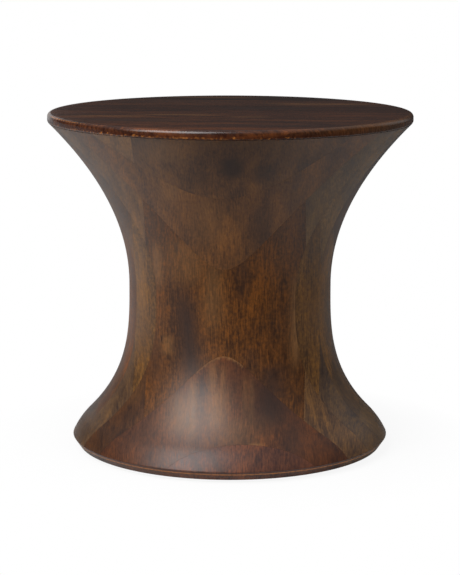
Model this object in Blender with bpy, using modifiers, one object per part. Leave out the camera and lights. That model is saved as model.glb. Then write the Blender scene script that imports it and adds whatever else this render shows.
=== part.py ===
"""Round wooden stool whose hourglass body is turned from a glued-up blank of upright planks.

Full-height boards round a square hollow core make a column. Short blocks are glued round its top and
its foot, and the whole blank is turned to one profile, so each flat glue joint shows on the surface as
an arch, a U or a bracket. Edge-glued boards make the seat, and felt pads carry the foot.

Metres, +Z up. The origin is on the floor under the axis, and the front faces -Y.
"""

import math

import bmesh
import bpy
from mathutils import Matrix, Vector

# Overall sizes
STOOL_HEIGHT = 0.450
SEAT_DIAMETER = 0.483
WAIST_DIAMETER = 0.270
WAIST_HEIGHT = 0.221
BASE_DIAMETER = 0.4244

# Turned profile: how far each flare leans from upright at its end, and the foot. The foot's long round
# still leans out where it stops at a sharp edge, and below the edge it is undercut.
RIM_ANGLE = math.radians(44.5)
BASE_ANGLE = math.radians(45)
BASE_ROUND = 0.100
BASE_EDGE_ANGLE = math.radians(26)
BASE_EDGE_HEIGHT = 0.016
UNDERCUT_WIDTH = 0.008

# Seat disc
SEAT_THICKNESS = 0.012
SEAT_OVERHANG = 0.001
SEAT_TOP_ROUND = 0.005
SEAT_LOWER_ROUND = 0.0025
SEAT_BOARD_COUNT = 6

# Planks of the blank. The column's faces stand proud of the waist before turning.
PLANK_THICKNESS = 0.038
TURNING_ALLOWANCE = 0.0035
FACE_BOARD_WIDTH = 0.207
INNER_BOARD_WIDTH = 0.244
CORNER_BLOCK_WIDTH = 0.0537
LOWER_OUTER_DEPTH = 0.0222
LOWER_OUTER_TWIST = math.radians(7.5)

# Felt pads under the foot
PAD_DIAMETER = 0.030
PAD_THICKNESS = 0.004
PAD_INSET = 0.034
PAD_COUNT = 4

# Gap that a glue line takes up between two pieces
GLUE_LINE = 0.0003

# Fineness of the turned surfaces
TURNED_STEPS = 72
FLARE_SEGMENTS = 12
BASE_ROUND_SEGMENTS = 4
SEAT_TOP_SEGMENTS = 4
SEAT_LOWER_SEGMENTS = 3
PAD_STEPS = 24

# How far a cutter reaches past the ends of what it shapes
CUT_MARGIN = 0.010

# Heights worked out from the sizes above
FOOT_HEIGHT = PAD_THICKNESS + GLUE_LINE
SEAT_UNDERSIDE = STOOL_HEIGHT - SEAT_THICKNESS
BODY_TOP = SEAT_UNDERSIDE - GLUE_LINE
FULL_HEIGHT = (FOOT_HEIGHT, BODY_TOP)
UPPER_HALF = (WAIST_HEIGHT + GLUE_LINE / 2, BODY_TOP)
LOWER_HALF = (FOOT_HEIGHT, WAIST_HEIGHT - GLUE_LINE / 2)

# Radii, and distances of the glue joints from the axis
WAIST_RADIUS = WAIST_DIAMETER / 2
BASE_RADIUS = BASE_DIAMETER / 2
RIM_RADIUS = SEAT_DIAMETER / 2 - SEAT_OVERHANG
COLUMN_FACE = WAIST_RADIUS + TURNING_ALLOWANCE
INNER_JOINT = COLUMN_FACE - PLANK_THICKNESS
CORE_FACE = INNER_JOINT - PLANK_THICKNESS
UPPER_JOINT = COLUMN_FACE + PLANK_THICKNESS
LOWER_SIDE_JOINT = (COLUMN_FACE + BASE_RADIUS) / 2
LOWER_OUTER_JOINT = BASE_RADIUS - LOWER_OUTER_DEPTH
CORNER_JOINT = math.sqrt(RIM_RADIUS ** 2 - UPPER_JOINT ** 2) - CORNER_BLOCK_WIDTH
OUTSIDE = max(SEAT_DIAMETER, BASE_DIAMETER)

# Colours of the stained wood, as sRGB hex
DARK_WALNUT = "4a3226"
WALNUT = "5a3f2c"
GOLDEN_WALNUT = "75543a"
RED_WALNUT = "4d332b"
FELT_BROWN = "3c342e"
WOOD_ROUGHNESS = 0.35
FELT_ROUGHNESS = 0.95

# Sides of the axis: front and back along Y, left and right along X
FRONT_AND_BACK = (("front", -1), ("back", 1))
LEFT_AND_RIGHT = (("left", -1), ("right", 1))


def clear_scene():
    """Remove whatever objects the file holds."""
    for item in list(bpy.data.objects):
        bpy.data.objects.remove(item, do_unlink=True)


def new_collection(name):
    """A collection linked to the scene."""
    collection = bpy.data.collections.new(name)
    bpy.context.scene.collection.children.link(collection)
    return collection


def linear_colour(hex_colour):
    """Linear RGBA of an sRGB hex colour."""
    channels = []
    for start in (0, 2, 4):
        value = int(hex_colour[start:start + 2], 16) / 255
        channels.append(value / 12.92 if value <= 0.04045 else ((value + 0.055) / 1.055) ** 2.4)
    return (*channels, 1.0)


def paint(piece, hex_colour, roughness):
    """Give a piece a material of its own."""
    material = bpy.data.materials.new(piece.name + "_finish")
    material.use_nodes = True
    shader = material.node_tree.nodes["Principled BSDF"]
    shader.inputs["Base Color"].default_value = linear_colour(hex_colour)
    shader.inputs["Roughness"].default_value = roughness
    shader.inputs["Metallic"].default_value = 0.0
    piece.data.materials.append(material)


def make_cutter(piece):
    """Keep a piece as a shape that only cuts others."""
    piece.hide_render = True
    piece.display_type = "WIRE"
    return piece


def link_mesh(name, shape, collection, parent):
    """An object in the collection, made from a finished bmesh."""
    mesh = bpy.data.meshes.new(name)
    shape.to_mesh(mesh)
    shape.free()
    piece = bpy.data.objects.new(name, mesh)
    collection.objects.link(piece)
    piece.parent = parent
    return piece


def add_box(name, ranges, collection, parent, turn=0.0):
    """A box over three ranges along X, Y and Z, then turned about the stool's axis."""
    low = Vector([limits[0] for limits in ranges])
    high = Vector([limits[1] for limits in ranges])
    shape = bmesh.new()
    bmesh.ops.create_cube(shape, size=1.0, matrix=Matrix.Diagonal((high - low).to_4d()))
    box = link_mesh(name, shape, collection, parent)
    box.location = Matrix.Rotation(turn, 3, "Z") @ ((low + high) / 2)
    box.rotation_euler.z = turn
    return box


def add_boolean(piece, operation, other):
    """Cut a piece with another, or keep only what they share."""
    modifier = piece.modifiers.new(operation.lower(), "BOOLEAN")
    modifier.operation = operation
    modifier.solver = "EXACT"
    modifier.object = other


def between(near, far, side=1):
    """Range of a piece between two glue joints, at distances from the axis, on one side of it."""
    inner = near + GLUE_LINE / 2
    outer = far - GLUE_LINE / 2
    return (inner, outer) if side > 0 else (-outer, -inner)


def flare_points(length, end_radius, angle, overshoot=0.0):
    """Radius and rise from the waist along a flare that leans by the angle where it ends.

    The radius grows as a power of the rise, so the surface leaves the waist upright. The power is the
    one that gives the lean at the end, and the overshoot carries the same curve past that end.
    """
    widening = end_radius - WAIST_RADIUS
    power = math.tan(angle) * length / widening
    points = []
    for step in range(FLARE_SEGMENTS + 1):
        rise = (length + overshoot) * step / FLARE_SEGMENTS
        points.append((WAIST_RADIUS + widening * (rise / length) ** power, rise))
    return points


def body_profile():
    """Outline of the turned body from the axis above its top, down the outside, to the axis below."""
    upper = flare_points(BODY_TOP - WAIST_HEIGHT, RIM_RADIUS, RIM_ANGLE, CUT_MARGIN)
    outline = [(radius, WAIST_HEIGHT + rise) for radius, rise in reversed(upper)]
    round_top = BASE_EDGE_HEIGHT + BASE_ROUND * (math.sin(BASE_ANGLE) - math.sin(BASE_EDGE_ANGLE))
    round_radius = BASE_RADIUS - BASE_ROUND * (math.cos(BASE_EDGE_ANGLE) - math.cos(BASE_ANGLE))
    lower = flare_points(WAIST_HEIGHT - round_top, round_radius, BASE_ANGLE)
    outline += [(radius, WAIST_HEIGHT - rise) for radius, rise in lower[1:]]
    for step in range(1, BASE_ROUND_SEGMENTS + 1):
        angle = BASE_ANGLE + (BASE_EDGE_ANGLE - BASE_ANGLE) * step / BASE_ROUND_SEGMENTS
        radius = BASE_RADIUS - BASE_ROUND * (math.cos(BASE_EDGE_ANGLE) - math.cos(angle))
        height = BASE_EDGE_HEIGHT + BASE_ROUND * (math.sin(angle) - math.sin(BASE_EDGE_ANGLE))
        outline.append((radius, height))
    undercut_slope = UNDERCUT_WIDTH / (BASE_EDGE_HEIGHT - FOOT_HEIGHT)
    drop = BASE_EDGE_HEIGHT - FOOT_HEIGHT + CUT_MARGIN
    outline.append((BASE_RADIUS - undercut_slope * drop, BASE_EDGE_HEIGHT - drop))
    return [(0.0, outline[0][1])] + outline + [(0.0, outline[-1][1])]


def foot_radius():
    """Radius of the flat underside: the foot's edge less its undercut."""
    return BASE_RADIUS - UNDERCUT_WIDTH


def turned_blank(collection, parent):
    """The hourglass that shapes every plank, as a profile turned about the axis."""
    shape = bmesh.new()
    corners = [shape.verts.new((radius, 0.0, height)) for radius, height in body_profile()]
    for first, second in zip(corners, corners[1:]):
        shape.edges.new((first, second))
    blank = make_cutter(link_mesh("turned_blank", shape, collection, parent))
    screw = blank.modifiers.new("turned", "SCREW")
    screw.steps = TURNED_STEPS
    screw.render_steps = TURNED_STEPS
    screw.use_merge_vertices = True
    screw.merge_threshold = 0.00001
    screw.use_smooth_shade = True
    return blank


def seat_disc(collection, parent):
    """The seat as one disc with a rounded edge, which shapes the seat boards."""
    shape = bmesh.new()
    radius = SEAT_DIAMETER / 2
    middle = Matrix.Translation((0.0, 0.0, SEAT_UNDERSIDE + SEAT_THICKNESS / 2))
    bmesh.ops.create_cone(shape, cap_ends=True, segments=TURNED_STEPS, radius1=radius,
                          radius2=radius, depth=SEAT_THICKNESS, matrix=middle)
    largest_round = SEAT_THICKNESS / 2 - GLUE_LINE
    round_edge(shape, STOOL_HEIGHT, min(SEAT_TOP_ROUND, largest_round), SEAT_TOP_SEGMENTS)
    round_edge(shape, SEAT_UNDERSIDE, min(SEAT_LOWER_ROUND, largest_round), SEAT_LOWER_SEGMENTS)
    return make_cutter(link_mesh("seat_disc", shape, collection, parent))


def round_edge(shape, height, radius, segments):
    """Round the edges that lie at one height."""
    edges = [edge for edge in shape.edges
             if all(abs(corner.co.z - height) < GLUE_LINE for corner in edge.verts)]
    bmesh.ops.bevel(shape, geom=edges, offset=radius, segments=segments, profile=0.5, affect="EDGES")


class Stool:
    """The collections, the root and the turned shapes that the pieces share."""

    def __init__(self):
        self.parts = new_collection("round_wooden_stool")
        self.cutters = new_collection("cutters")
        self.root = bpy.data.objects.new("stool_root", None)
        self.parts.objects.link(self.root)
        self.blank = turned_blank(self.cutters, self.root)
        self.seat = seat_disc(self.cutters, self.root)

    def plank(self, name, ranges, colour, turn=0.0):
        """A plank of the body: a box cut to the turned surface."""
        piece = add_box(name, ranges, self.parts, self.root, turn)
        add_boolean(piece, "INTERSECT", self.blank)
        paint(piece, colour, WOOD_ROUGHNESS)
        return piece


def add_column(stool):
    """Full-height boards round the square core: faces, inner boards and cheeks."""
    face_width = between(-FACE_BOARD_WIDTH / 2, FACE_BOARD_WIDTH / 2)
    inner_width = between(-INNER_BOARD_WIDTH / 2, INNER_BOARD_WIDTH / 2)
    cheek_width = between(-CORE_FACE, CORE_FACE)
    for place, side in FRONT_AND_BACK:
        face = between(INNER_JOINT, COLUMN_FACE, side)
        inner = between(CORE_FACE, INNER_JOINT, side)
        stool.plank(place + "_face_board", (face_width, face, FULL_HEIGHT), WALNUT)
        stool.plank(place + "_inner_board", (inner_width, inner, FULL_HEIGHT), WALNUT)
    for place, side in LEFT_AND_RIGHT:
        inner = between(CORE_FACE, INNER_JOINT, side)
        outer = between(INNER_JOINT, COLUMN_FACE, side)
        stool.plank(place + "_inner_cheek", (inner, cheek_width, FULL_HEIGHT), WALNUT)
        stool.plank(place + "_outer_cheek", (outer, cheek_width, FULL_HEIGHT), WALNUT)


def add_quarter_blocks(stool, level, heights):
    """Blocks that carry the face boards and the inner boards out to the flare on both sides."""
    for place, depth_side in FRONT_AND_BACK:
        face = between(INNER_JOINT, COLUMN_FACE, depth_side)
        inner = between(CORE_FACE, INNER_JOINT, depth_side)
        for hand, side in LEFT_AND_RIGHT:
            name = "_".join((level, place, hand))
            beside_face = between(FACE_BOARD_WIDTH / 2, OUTSIDE, side)
            beside_inner = between(INNER_BOARD_WIDTH / 2, OUTSIDE, side)
            stool.plank(name + "_face_block", (beside_face, face, heights), GOLDEN_WALNUT)
            stool.plank(name + "_quarter_block", (beside_inner, inner, heights), WALNUT)


def add_side_blocks(stool, level, heights, joint):
    """Two layers of blocks on the cheeks, left and right."""
    cheek_width = between(-CORE_FACE, CORE_FACE)
    for hand, side in LEFT_AND_RIGHT:
        name = "_".join((level, hand))
        inner = between(COLUMN_FACE, joint, side)
        outer = between(joint, OUTSIDE, side)
        stool.plank(name + "_inner_block", (inner, cheek_width, heights), WALNUT)
        stool.plank(name + "_outer_block", (outer, cheek_width, heights), DARK_WALNUT)


def add_upper_blocks(stool):
    """Two layers on the column's front and back under the seat, the outer one with a corner block."""
    for place, side in FRONT_AND_BACK:
        name = "upper_" + place
        inner = between(COLUMN_FACE, UPPER_JOINT, side)
        outer = between(UPPER_JOINT, OUTSIDE, side)
        corner = between(CORNER_JOINT, OUTSIDE, side)
        rest = sorted((-side * OUTSIDE, side * (CORNER_JOINT - GLUE_LINE / 2)))
        stool.plank(name + "_inner_block", ((-OUTSIDE, OUTSIDE), inner, UPPER_HALF), WALNUT)
        stool.plank(name + "_outer_block", (rest, outer, UPPER_HALF), DARK_WALNUT)
        stool.plank(name + "_corner_block", (corner, outer, UPPER_HALF), WALNUT)
    add_quarter_blocks(stool, "upper", UPPER_HALF)
    add_side_blocks(stool, "upper", UPPER_HALF, UPPER_JOINT)


def add_lower_blocks(stool):
    """Two layers on the column's front and back at the foot, the outer one on a slanted flat."""
    heights = (LOWER_HALF[0] - CUT_MARGIN, LOWER_HALF[1] + CUT_MARGIN)
    across = (-OUTSIDE, OUTSIDE)
    for place, side in FRONT_AND_BACK:
        name = "lower_" + place
        inner = between(COLUMN_FACE, OUTSIDE, side)
        outer = between(LOWER_OUTER_JOINT, OUTSIDE, side)
        flat = between(LOWER_OUTER_JOINT - GLUE_LINE, OUTSIDE + CUT_MARGIN, side)
        block = stool.plank(name + "_inner_block", (across, inner, LOWER_HALF), WALNUT)
        cutter = add_box(name + "_flat", (across, flat, heights), stool.cutters, stool.root,
                         LOWER_OUTER_TWIST)
        add_boolean(block, "DIFFERENCE", make_cutter(cutter))
        stool.plank(name + "_outer_block", (across, outer, LOWER_HALF), DARK_WALNUT,
                    LOWER_OUTER_TWIST)
    add_quarter_blocks(stool, "lower", LOWER_HALF)
    add_side_blocks(stool, "lower", LOWER_HALF, LOWER_SIDE_JOINT)


def add_seat(stool):
    """Seat boards that run from left to right, edge-glued and cut to the round disc."""
    heights = (SEAT_UNDERSIDE - CUT_MARGIN, STOOL_HEIGHT + CUT_MARGIN)
    width = SEAT_DIAMETER / SEAT_BOARD_COUNT
    for index in range(SEAT_BOARD_COUNT):
        front = -SEAT_DIAMETER / 2 + index * width
        depth = between(front, front + width)
        name = "seat_board_" + str(index + 1)
        board = add_box(name, ((-OUTSIDE, OUTSIDE), depth, heights), stool.parts, stool.root)
        add_boolean(board, "INTERSECT", stool.seat)
        paint(board, RED_WALNUT, WOOD_ROUGHNESS)


def add_pads(stool):
    """Felt pads in a ring under the foot."""
    ring = foot_radius() - PAD_INSET
    for index in range(PAD_COUNT):
        angle = 2 * math.pi * (index + 0.5) / PAD_COUNT
        shape = bmesh.new()
        bmesh.ops.create_cone(shape, cap_ends=True, segments=PAD_STEPS, radius1=PAD_DIAMETER / 2,
                              radius2=PAD_DIAMETER / 2, depth=PAD_THICKNESS)
        pad = link_mesh("felt_pad_" + str(index + 1), shape, stool.parts, stool.root)
        pad.location = (ring * math.cos(angle), ring * math.sin(angle), PAD_THICKNESS / 2)
        paint(pad, FELT_BROWN, FELT_ROUGHNESS)


def main():
    clear_scene()
    stool = Stool()
    add_column(stool)
    add_upper_blocks(stool)
    add_lower_blocks(stool)
    add_seat(stool)
    add_pads(stool)


main()
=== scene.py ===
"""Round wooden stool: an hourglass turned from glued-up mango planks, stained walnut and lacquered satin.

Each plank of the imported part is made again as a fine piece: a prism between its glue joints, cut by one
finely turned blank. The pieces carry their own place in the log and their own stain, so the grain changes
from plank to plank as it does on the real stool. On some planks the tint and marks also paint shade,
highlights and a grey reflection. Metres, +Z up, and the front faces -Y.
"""

import math

import bpy
import numpy as np
from mathutils import Euler, Matrix, Vector


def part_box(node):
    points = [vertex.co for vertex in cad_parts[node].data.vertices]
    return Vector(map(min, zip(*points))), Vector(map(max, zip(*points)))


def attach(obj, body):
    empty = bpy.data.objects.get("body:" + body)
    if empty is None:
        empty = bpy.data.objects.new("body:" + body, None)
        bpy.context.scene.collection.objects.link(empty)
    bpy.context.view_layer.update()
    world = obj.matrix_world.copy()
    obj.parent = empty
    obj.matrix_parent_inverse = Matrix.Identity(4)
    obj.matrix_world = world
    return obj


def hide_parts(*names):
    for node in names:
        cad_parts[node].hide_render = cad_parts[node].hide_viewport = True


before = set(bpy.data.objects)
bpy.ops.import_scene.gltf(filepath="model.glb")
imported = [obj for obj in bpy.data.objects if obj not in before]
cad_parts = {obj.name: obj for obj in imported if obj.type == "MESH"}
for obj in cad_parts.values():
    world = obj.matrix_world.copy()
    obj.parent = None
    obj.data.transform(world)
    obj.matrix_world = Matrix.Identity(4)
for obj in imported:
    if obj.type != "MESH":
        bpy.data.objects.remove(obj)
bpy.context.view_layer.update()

bl_info = {
    "name": "Round Wooden Stool",
    "version": (1, 0, 0),
    "blender": (4, 5, 0),
    "location": "3D View > Sidebar > Stool",
    "description": "Builds a turned, laminated wooden stool and its studio",
    "category": "Object",
}

# Glue joints of the blank: distances from the axis, and widths along it
FACE_HALF_WIDTH = 0.1035
INNER_HALF_WIDTH = 0.122
CORE_FACE = 0.0625
INNER_JOINT = 0.1005
COLUMN_FACE = 0.1385
UPPER_JOINT = 0.1765
CORNER_JOINT = 0.1097
LOWER_SIDE_JOINT = 0.17535
LOWER_OUTER_JOINT = 0.190
LOWER_OUTER_TWIST = 7.5
REACH = 0.300

# Turned profile
RIM_LEAN = math.radians(44.5)
BASE_LEAN = math.radians(45)
BASE_ROUND = 0.100
BASE_EDGE_ANGLE = math.radians(26)
BASE_EDGE_HEIGHT = 0.016
UNDERCUT_WIDTH = 0.008
FOOT_HEIGHT = 0.0043
PAD_EDGE = 0.0008

# Fineness of the turned surfaces, and how close to a plane a point counts as on it
TURNED_STEPS = 480
PAD_STEPS = 64
FLARE_ROWS = 70
FOOT_ROWS = 24
SEAT_ROWS = 48
ON_PLANE = 0.000005

# Camera, worked out from the outline in the photograph
CAMERA_DISTANCE = 2.600
CAMERA_HEIGHT = 0.701
CAMERA_TURN = math.radians(3.25)
CAMERA_PITCH = math.radians(10.63)
CAMERA_ROLL = math.radians(0.11)
FOCAL_PIXELS = 1968.5
PICTURE_HEIGHT = 575
SENSOR = 36.0


def linear(hex_colour):
    """Linear RGB of an sRGB hex colour."""
    channels = np.array([int(hex_colour[start:start + 2], 16) / 255 for start in (0, 2, 4)])
    return tuple(np.where(channels <= 0.04045, channels / 12.92, ((channels + 0.055) / 1.055) ** 2.4))


class StoolSizes(bpy.types.PropertyGroup):
    """Sizes of the turned stool."""

    height: bpy.props.FloatProperty(
        name="Height", description="Floor to the top of the seat", default=0.450, unit="LENGTH")
    seat_diameter: bpy.props.FloatProperty(
        name="Seat diameter", description="Across the seat", default=0.4827, unit="LENGTH")
    seat_thickness: bpy.props.FloatProperty(
        name="Seat thickness", description="Depth of the seat boards", default=0.012, unit="LENGTH")
    seat_overhang: bpy.props.FloatProperty(
        name="Seat overhang", description="How far the seat stands past the body",
        default=0.001, unit="LENGTH")
    seat_round: bpy.props.FloatProperty(
        name="Seat round", description="Radius of the seat's upper edge", default=0.005, unit="LENGTH")
    seat_lower_round: bpy.props.FloatProperty(
        name="Seat lower round", description="Radius of the seat's lower edge",
        default=0.0025, unit="LENGTH")
    waist_diameter: bpy.props.FloatProperty(
        name="Waist diameter", description="Across the narrowest part", default=0.270, unit="LENGTH")
    waist_height: bpy.props.FloatProperty(
        name="Waist height", description="Floor to the narrowest part", default=0.221, unit="LENGTH")
    base_diameter: bpy.props.FloatProperty(
        name="Base diameter", description="Across the edge of the foot", default=0.4244, unit="LENGTH")
    glue_line: bpy.props.FloatProperty(
        name="Glue line", description="Width of the joint between two planks",
        default=0.00012, unit="LENGTH")


class StoolColours(bpy.types.PropertyGroup):
    """Colours of the wood, the felt and the floor."""

    dark_stain: bpy.props.FloatVectorProperty(
        name="Dark stain", description="Stain where the grain is tight", subtype="COLOR",
        default=linear("3a2214"))
    walnut_stain: bpy.props.FloatVectorProperty(
        name="Walnut stain", description="Stain over most of the wood", subtype="COLOR",
        default=linear("59371b"))
    golden_stain: bpy.props.FloatVectorProperty(
        name="Golden stain", description="Stain where the grain is open", subtype="COLOR",
        default=linear("7a4b20"))
    heartwood: bpy.props.FloatVectorProperty(
        name="Heartwood", description="Purple-grey streaks of heartwood", subtype="COLOR",
        default=linear("30201a"))
    sapwood: bpy.props.FloatVectorProperty(
        name="Sapwood", description="Pale golden patches", subtype="COLOR", default=linear("8c6238"))
    burnt_edge: bpy.props.FloatVectorProperty(
        name="Burnt edge", description="Dark stain gathered under the seat's edge", subtype="COLOR",
        default=linear("3a160a"))
    bare_wood: bpy.props.FloatVectorProperty(
        name="Bare wood", description="Wood where the stain is rubbed through", subtype="COLOR",
        default=linear("a0632c"))
    felt: bpy.props.FloatVectorProperty(
        name="Felt", description="Pads under the foot", subtype="COLOR", default=linear("3c342e"))
    floor: bpy.props.FloatVectorProperty(
        name="Floor", description="White table top under the stool", subtype="COLOR",
        default=linear("f4f4f4"))
    bounce: bpy.props.FloatVectorProperty(
        name="Bounce", description="Grey of the floor as it lights the stool", subtype="COLOR",
        default=linear("d6d6d6"))
    room: bpy.props.FloatVectorProperty(
        name="Room", description="Dim parts of the floor, as they light the stool", subtype="COLOR",
        default=linear("404040"))


def add_node(tree, kind, inputs=None, **settings):
    """Add a node with its settings.

    An input's value is a number, a colour, or the socket that it links from.
    """
    node = tree.nodes.new(kind)
    for name, value in settings.items():
        setattr(node, name, value)
    for key, value in (inputs or {}).items():
        if isinstance(value, bpy.types.NodeSocket):
            tree.links.new(value, node.inputs[key])
        else:
            node.inputs[key].default_value = value
    return node


def grain(width, depth, length):
    """Cycles per metre across the grain, into it and along it, from a pattern's real size in millimetres."""
    return (1000 / width, 1000 / depth, 1000 / length)


def stained_mango(name, colours, dullness):
    """Mango sawn into planks, stained to walnut, turned, sanded and sprayed with satin lacquer.

    The eye gets long fine fibres, a curl across them, soft growth bands, short dark pores, and cloudy
    streaks where the stain took more or less. Heartwood and sapwood change the colour, stain is gathered
    or rubbed off along the edges, and a few pits are open. Some pale marks are painted highlights and
    painted light, and some dark marks and plank tints are painted shade and a painted grey reflection.
    Each plank carries its place in a log that grew along Z.
    """
    material = bpy.data.materials.new(name)
    material.use_nodes = True
    tree = material.node_tree
    tree.nodes.clear()
    place = add_node(tree, "ShaderNodeTexCoord").outputs["Object"]
    along = add_node(tree, "ShaderNodeAttribute", attribute_name="log_place").outputs["Vector"]
    tint = add_node(tree, "ShaderNodeAttribute", attribute_name="plank_tint")
    marks = add_node(tree, "ShaderNodeAttribute", attribute_name="marks")
    figure = add_node(tree, "ShaderNodeAttribute", attribute_name="figure").outputs["Fac"]

    # Wander of the fibres, up to 5 mm either way over 60 mm of width and 250 mm of length
    scaled = add_node(tree, "ShaderNodeVectorMath", {0: along, 1: grain(60, 60, 250)},
                      operation="MULTIPLY").outputs[0]
    wander = add_node(tree, "ShaderNodeTexNoise",
                      {"Vector": scaled, "Scale": 1.0, "Detail": 2.0}).outputs["Color"]
    offset = add_node(tree, "ShaderNodeVectorMath",
                      {0: wander, 1: (0.020, 0.020, 0.0), 2: (-0.010, -0.010, 0.0)},
                      operation="MULTIPLY_ADD").outputs[0]
    fibre_place = add_node(tree, "ShaderNodeVectorMath", {0: along, 1: offset}, operation="ADD").outputs[0]

    # The patterns: size across the grain, into it and along it in millimetres, and detail. Fibres and pores
    # are drawn three to five times as coarse as the real ones, so that they show.
    patterns = {}
    for pattern, width, depth, length, detail in (
            ("fibres", 1.4, 14, 20, 2.0), ("curl", 3.0, 14, 4.0, 2.0), ("clouds", 24, 50, 100, 3.0),
            ("pores", 1.2, 6, 9, 1.0)):
        scaled = add_node(tree, "ShaderNodeVectorMath", {0: fibre_place, 1: grain(width, depth, length)},
                          operation="MULTIPLY").outputs[0]
        patterns[pattern] = add_node(tree, "ShaderNodeTexNoise",
                                     {"Vector": scaled, "Scale": 1.0, "Detail": detail}).outputs["Fac"]
    pores = add_node(tree, "ShaderNodeMapRange",
                     {"Value": patterns["pores"], "From Min": 0.52, "From Max": 0.68}).outputs["Result"]

    # Growth bands about 9 mm apart, by distance from the heart of the log
    flat = add_node(tree, "ShaderNodeVectorMath", {0: fibre_place, 1: (1.0, 1.0, 0.0)}, operation="MULTIPLY")
    heart = add_node(tree, "ShaderNodeVectorMath", {0: flat.outputs[0]}, operation="LENGTH").outputs["Value"]
    band_place = add_node(tree, "ShaderNodeMath", {0: heart, 1: 1000 / 9}, operation="MULTIPLY").outputs[0]
    bands = add_node(tree, "ShaderNodeTexNoise", {"W": band_place, "Scale": 1.0, "Detail": 2.0},
                     noise_dimensions="1D").outputs["Fac"]

    # How open the grain is, about one half: clouds, and bands and fine figure by the plank's own shares
    shade = add_node(tree, "ShaderNodeMath", {0: patterns["clouds"], 1: 0.48, 2: 0.26},
                     operation="MULTIPLY_ADD").outputs[0]
    fine = add_node(tree, "ShaderNodeMix", {"Factor": 0.45, "A": patterns["fibres"], "B": patterns["curl"]})
    for pattern, share in ((bands, tint.outputs["Alpha"]), (fine.outputs["Result"], figure)):
        centred = add_node(tree, "ShaderNodeMath", {0: pattern, 1: 0.5}, operation="SUBTRACT").outputs[0]
        shade = add_node(tree, "ShaderNodeMath", {0: centred, 1: share, 2: shade},
                         operation="MULTIPLY_ADD").outputs[0]
    stain = add_node(tree, "ShaderNodeValToRGB", {"Fac": shade})
    ramp = stain.color_ramp.elements
    ramp[0].position = 0.34
    ramp[0].color = (*colours.dark_stain, 1.0)
    ramp[1].position = 0.70
    ramp[1].color = (*colours.golden_stain, 1.0)
    middle = ramp.new(0.50)
    middle.color = (*colours.walnut_stain, 1.0)
    # The plank's tint: its tone, and on some planks painted shade and a painted grey reflection
    colour = add_node(tree, "ShaderNodeMix",
                      {"Factor": 1.0, "A": stain.outputs["Color"], "B": tint.outputs["Color"]},
                      data_type="RGBA", blend_type="MULTIPLY").outputs["Result"]

    # Heartwood, sapwood and stain gathered on an edge, with borders that follow the fibres; some sapwood
    # marks are painted highlights and light, and some heartwood marks painted shade
    ragged = add_node(tree, "ShaderNodeMath", {0: patterns["fibres"], 1: patterns["clouds"]},
                      operation="ADD")
    ragged = add_node(tree, "ShaderNodeMath", {0: ragged.outputs[0], 1: 0.6, 2: -0.6},
                      operation="MULTIPLY_ADD").outputs[0]
    kinds = add_node(tree, "ShaderNodeSeparateColor", {"Color": marks.outputs["Color"]})
    for channel, mark_colour in (("Red", colours.heartwood), ("Green", colours.sapwood),
                                 ("Blue", colours.burnt_edge)):
        weight = add_node(tree, "ShaderNodeMath", {0: ragged, 1: 1.0}, operation="ADD").outputs[0]
        amount = add_node(tree, "ShaderNodeMath", {0: kinds.outputs[channel], 1: weight},
                          operation="MULTIPLY", use_clamp=True).outputs[0]
        colour = add_node(tree, "ShaderNodeMix", {"Factor": amount, "A": colour, "B": (*mark_colour, 1.0)},
                          data_type="RGBA").outputs["Result"]

    # Pores and open pits darken, and wear along the edges lets the bare wood through in specks of 4 mm
    depth = add_node(tree, "ShaderNodeMath", {0: figure, 1: 0.6}, operation="MINIMUM").outputs[0]
    darker = add_node(tree, "ShaderNodeMath", {0: pores, 1: depth}, operation="MULTIPLY").outputs[0]
    darker = add_node(tree, "ShaderNodeMath", {0: darker, 1: 0.5}, operation="MULTIPLY").outputs[0]
    for pit in PITS:
        apart = add_node(tree, "ShaderNodeVectorMath", {0: place, 1: pit}, operation="SUBTRACT").outputs[0]
        scaled = add_node(tree, "ShaderNodeVectorMath", {0: apart, 1: grain(1.6, 1.6, 5.0)},
                          operation="MULTIPLY")
        reach = add_node(tree, "ShaderNodeVectorMath", {0: scaled.outputs[0]},
                         operation="LENGTH").outputs["Value"]
        hole = add_node(tree, "ShaderNodeMapRange",
                        {"Value": reach, "From Min": 1.0, "From Max": 0.5, "To Max": 0.9}).outputs["Result"]
        darker = add_node(tree, "ShaderNodeMath", {0: darker, 1: hole}, operation="MAXIMUM").outputs[0]
    colour = add_node(tree, "ShaderNodeMix", {"Factor": darker, "A": colour, "B": (*linear("1a0d08"), 1.0)},
                      data_type="RGBA").outputs["Result"]
    scaled = add_node(tree, "ShaderNodeVectorMath", {0: place, 1: grain(4, 4, 4)},
                      operation="MULTIPLY").outputs[0]
    specks = add_node(tree, "ShaderNodeTexNoise",
                      {"Vector": scaled, "Scale": 1.0, "Detail": 3.0}).outputs["Fac"]
    worn = add_node(tree, "ShaderNodeMath", {0: specks, 1: marks.outputs["Alpha"]},
                    operation="ADD").outputs[0]
    rubbed = add_node(tree, "ShaderNodeMapRange",
                      {"Value": worn, "From Min": 0.90, "From Max": 1.15}).outputs["Result"]
    colour = add_node(tree, "ShaderNodeMix", {"Factor": rubbed, "A": colour, "B": (*colours.bare_wood, 1.0)},
                      data_type="RGBA").outputs["Result"]

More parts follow.
